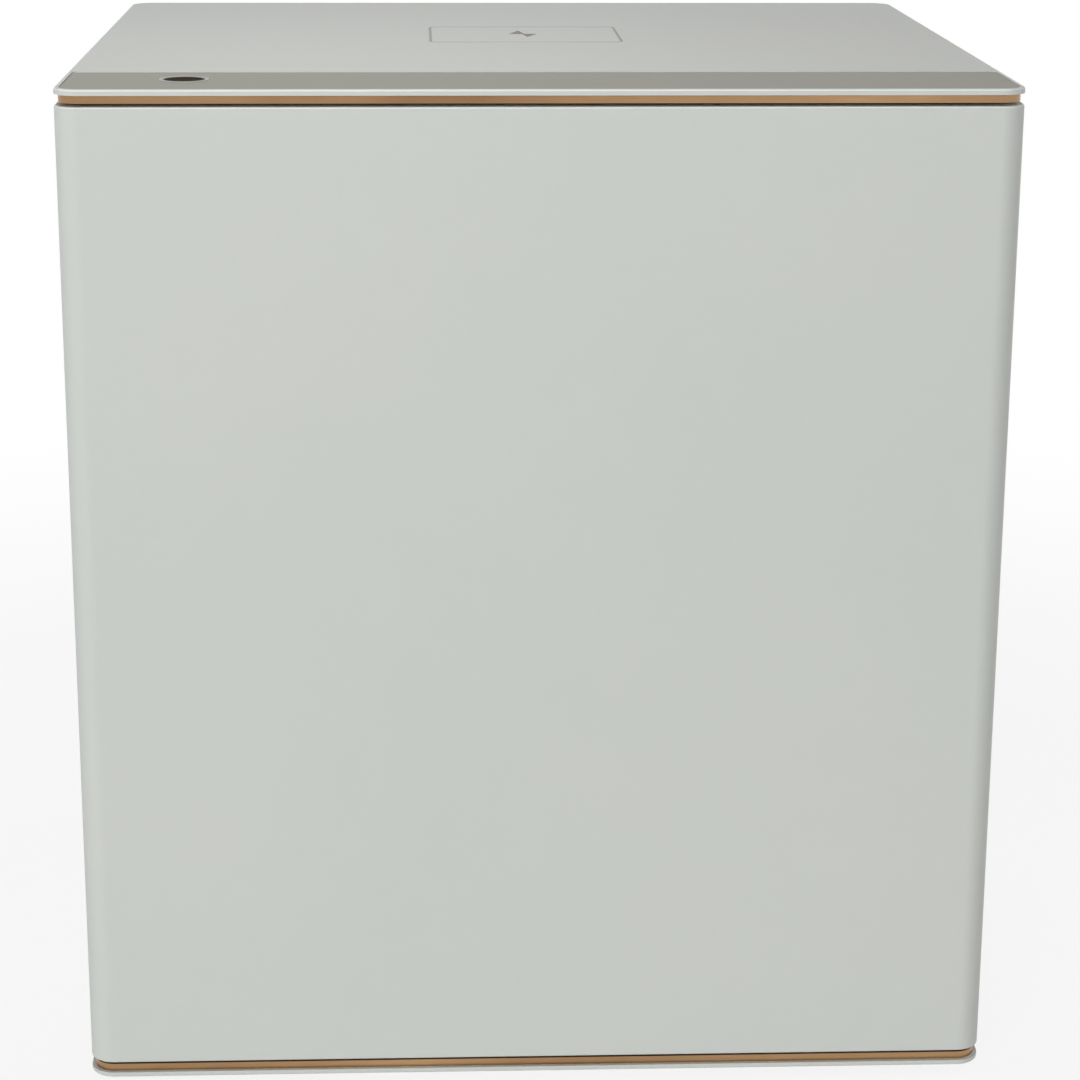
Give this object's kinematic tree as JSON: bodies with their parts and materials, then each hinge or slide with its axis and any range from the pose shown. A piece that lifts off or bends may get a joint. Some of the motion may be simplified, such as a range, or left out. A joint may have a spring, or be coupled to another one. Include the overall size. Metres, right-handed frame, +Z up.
{
  "type": "bedside safe",
  "caption": "Bedside safe with a hinged full-front door, motor-driven bolts, a shelf, a touch strip with fingerprint reader and a wireless charging top.",
  "frame": {"origin": "bottom centre of the bounding box, on the floor under the feet", "axes": "+Z up, the door faces -Y, +X to the right of someone who faces the door"},
  "size_m": [0.45, 0.405, 0.5],
  "materials": {
    "white_paint": "satin",
    "copper_trim": "brushed",
    "grey_glass": "gloss",
    "dark_paint": "satin",
    "zinc_steel": "satin",
    "bright_steel": "polished",
    "bronze": "satin",
    "black_plastic": "matte",
    "pale_plastic": "satin",
    "opal_lens": "satin",
    "circuit_board": "satin",
    "black_rubber": "matte",
    "grey_felt": "matte",
    "cell_wrap": "gloss"
  },
  "bodies": {
    "cabinet": {"outer_casing": "white_paint", "vault_box": "dark_paint", "front_frame": "dark_paint", "base_plate": "white_paint", "base_frame": "zinc_steel", "lower_trim": "copper_trim", "upper_trim": "copper_trim", "top_frame": "zinc_steel", "top_panel": "white_paint", "touch_glass": "grey_glass", "keypad_board": "circuit_board", "fingerprint_ring": "pale_plastic", "fingerprint_sensor": "black_plastic", "charging_coil": "bronze", "coil_ferrite": "black_plastic", "charging_board": "circuit_board", "coil_cradle": "black_plastic", "board_standoffs": "pale_plastic", "control_board": "circuit_board", "rear_socket_plate": "black_plastic", "power_socket": "black_plastic", "usb_ports": "bright_steel", "feet": "black_rubber", "felt_mats": "grey_felt", "shelf_brackets": "dark_paint", "shelf": "dark_paint", "light_housing": "pale_plastic", "light_lens": "opal_lens", "hinge_pins": "bright_steel", "thrust_washer": "bronze", "door_sensor": "black_plastic"},
    "door": {"door_skin": "white_paint", "door_armour_plate": "dark_paint", "finger_pull_cup": "black_plastic", "hinge_blocks": "zinc_steel", "hinge_bushes": "bronze", "door_seal": "black_rubber", "boltwork_housing": "dark_paint", "bolt_guides": "pale_plastic", "fixed_bolts": "bright_steel", "fixed_bolt_nuts": "bright_steel", "bar_studs": "bright_steel", "motor_bracket": "zinc_steel", "gearbox": "black_plastic", "lock_motor": "zinc_steel", "battery_case": "black_plastic", "batteries": "cell_wrap", "inner_cover": "black_plastic", "door_board": "circuit_board", "cover_screws": "bright_steel", "door_magnet": "bright_steel"},
    "boltwork": {"bolt_bar": "zinc_steel", "drive_rack": "bright_steel", "live_bolts": "bright_steel", "bolt_nuts": "bright_steel"},
    "drive": {"drive_pinion": "bronze", "output_shaft": "bright_steel"},
    "battery_lid": {"battery_cover": "black_plastic"},
    "reset": {"reset_button": "pale_plastic"}
  },
  "joints": [
    {"name": "door_swing", "type": "hinge", "parent": "cabinet", "child": "door", "pos_m": [0.215, -0.1825, 0.25245], "axis": [0, 0, 1], "range_deg": [0, 110]},
    {"name": "bolt_throw", "type": "slide", "parent": "door", "child": "boltwork", "axis": [-1, 0, 0], "range_m": [0, 0.016]},
    {"name": "pinion_turn", "type": "hinge", "parent": "door", "child": "drive", "pos_m": [-0.08, -0.1525, 0.242], "axis": [0, 1, 0], "range_deg": [0, 101.9]},
    {"name": "battery_lid_off", "type": "slide", "parent": "door", "child": "battery_lid", "axis": [0, 1, 0], "range_m": [0, 0.03]},
    {"name": "reset_press", "type": "slide", "parent": "door", "child": "reset", "axis": [0, -1, 0], "range_m": [0, 0.0015], "stiffness_N_per_m": 400, "springref_m": -0.001}
  ],
  "couplings": [
    {"joint": "pinion_turn", "follows": "bolt_throw", "rad_per_m": 111.11}
  ]
}
